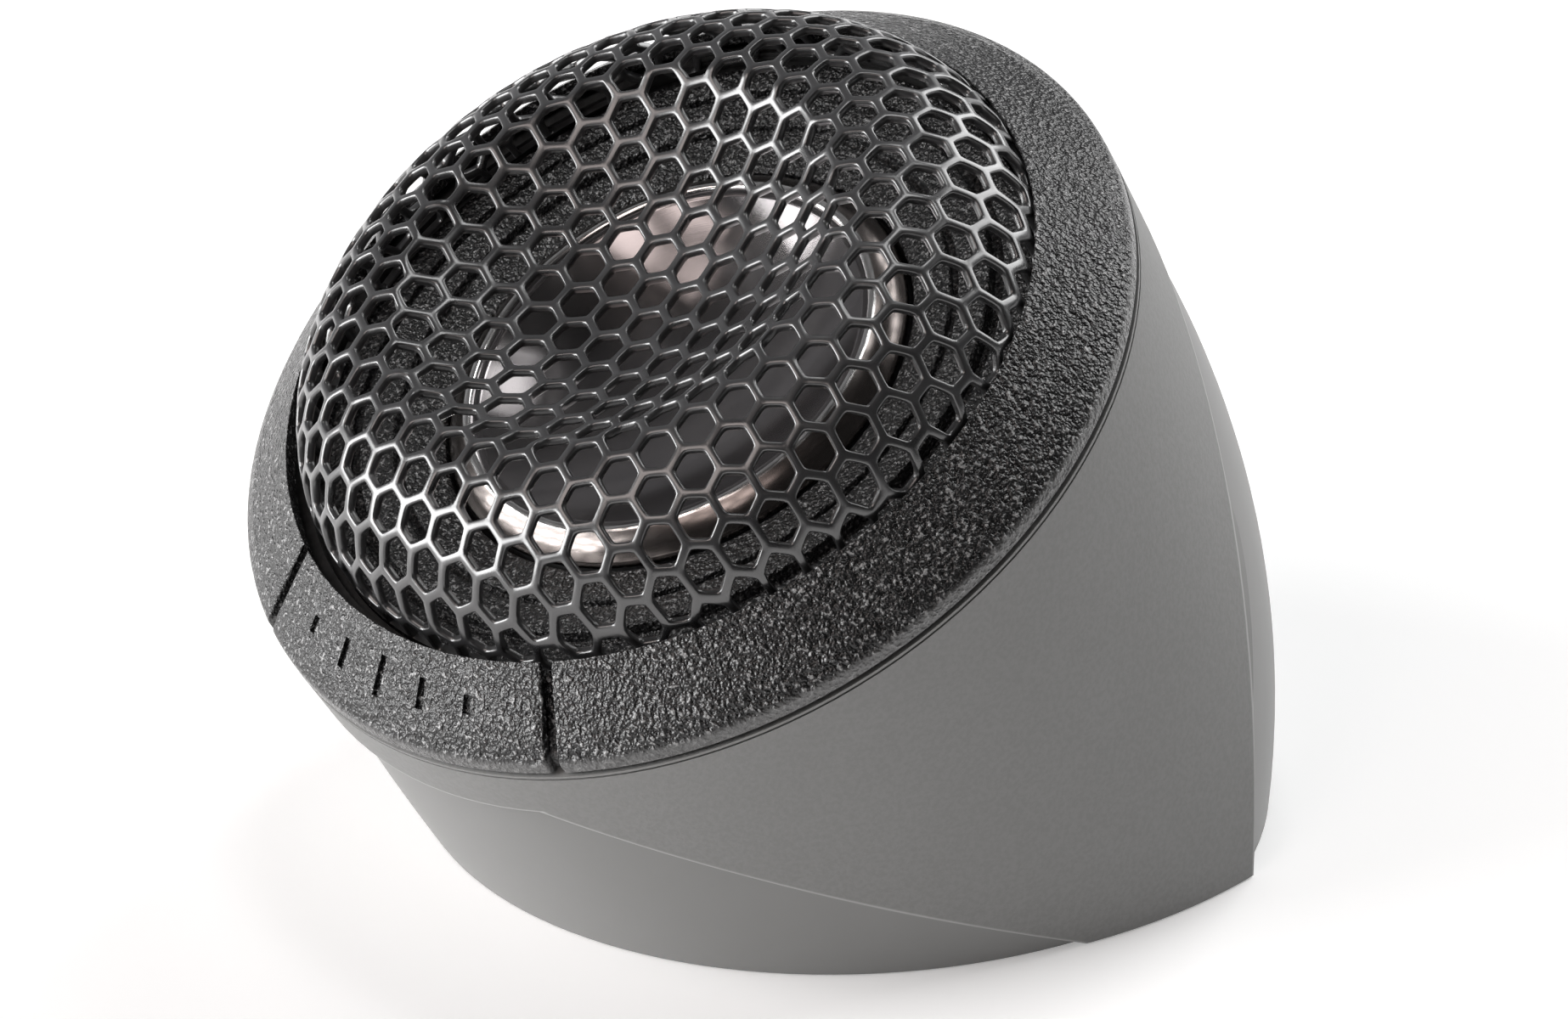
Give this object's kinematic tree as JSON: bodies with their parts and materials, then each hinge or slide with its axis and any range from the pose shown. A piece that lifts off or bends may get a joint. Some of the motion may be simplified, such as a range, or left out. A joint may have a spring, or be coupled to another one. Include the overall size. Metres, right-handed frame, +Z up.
{
  "type": "car tweeter",
  "caption": "Surface-mount car tweeter: an inverted aluminium dome behind a pressed hexagonal mesh, in a black bezel that twist-locks into a tilted grey pod.",
  "frame": {"origin": "on the mounting surface, midway between the two dashboard screw holes", "axes": "+Z up from the mounting surface, -Y to the front that the tweeter leans towards, +X to the object's left as it faces forwards"},
  "size_m": [0.052, 0.0568, 0.0441],
  "materials": {
    "pod_plastic": "grey moulded plastic, grained on the band and side panels, smooth elsewhere",
    "base_plastic": "moulded black",
    "pad_foam": "closed-cell foam",
    "screw_steel": "zinc plated",
    "soft_rubber": "soft black rubber",
    "bezel_plastic": "black, fine spark-eroded grain",
    "badge_plastic": "black, fine spark-eroded grain",
    "mesh_metal": "black satin paint on pressed mesh",
    "inner_plastic": "moulded black",
    "face_plastic": "black, fine grain",
    "yoke_steel": "machined, black passivated",
    "magnet_nickel": "nickel plated",
    "felt": "pressed felt",
    "board": "circuit-board laminate",
    "terminal_metal": "tin plated brass",
    "lead_insulation": "lead insulation",
    "dome_aluminium": "polished",
    "former_film": "polyimide film",
    "coil_copper": "enamelled wire winding",
    "surround_rubber": "thin rolled ring"
  },
  "bodies": {
    "pod": {"pod_shell": "pod_plastic", "base_plate": "base_plastic", "base_pad": "pad_foam", "base_screws": "screw_steel", "cable_grommet": "soft_rubber"},
    "module": {"bezel_ring": "bezel_plastic", "badge_segment": "badge_plastic", "grille": "mesh_metal", "grille_clamp": "inner_plastic", "bayonet_housing": "inner_plastic", "friction_ring": "soft_rubber", "face_plate": "face_plastic", "face_gasket": "pad_foam", "yoke_cup": "yoke_steel", "magnet": "magnet_nickel", "pole_plate": "yoke_steel", "damping_pad": "felt", "motor_screws": "screw_steel", "rear_cover": "inner_plastic", "rear_foam": "pad_foam", "terminal_board": "board", "terminal_positive": "terminal_metal", "terminal_negative": "terminal_metal", "coil_leads": "lead_insulation"},
    "diaphragm": {"dome": "dome_aluminium", "coil_former": "former_film", "voice_coil": "coil_copper", "surround": "surround_rubber"}
  },
  "joints": [
    {"name": "module_twist", "type": "hinge", "parent": "pod", "child": "module", "pos_m": [0, -0.009, 0.0267], "axis": [0, -0.5, 0.866], "range_deg": [0, 30]},
    {"name": "dome_travel", "type": "slide", "parent": "module", "child": "diaphragm", "axis": [0, -0.5, 0.866], "range_m": [-0.0004, 0.0004], "stiffness_N_per_m": 200, "deforming": ["surround"]}
  ]
}
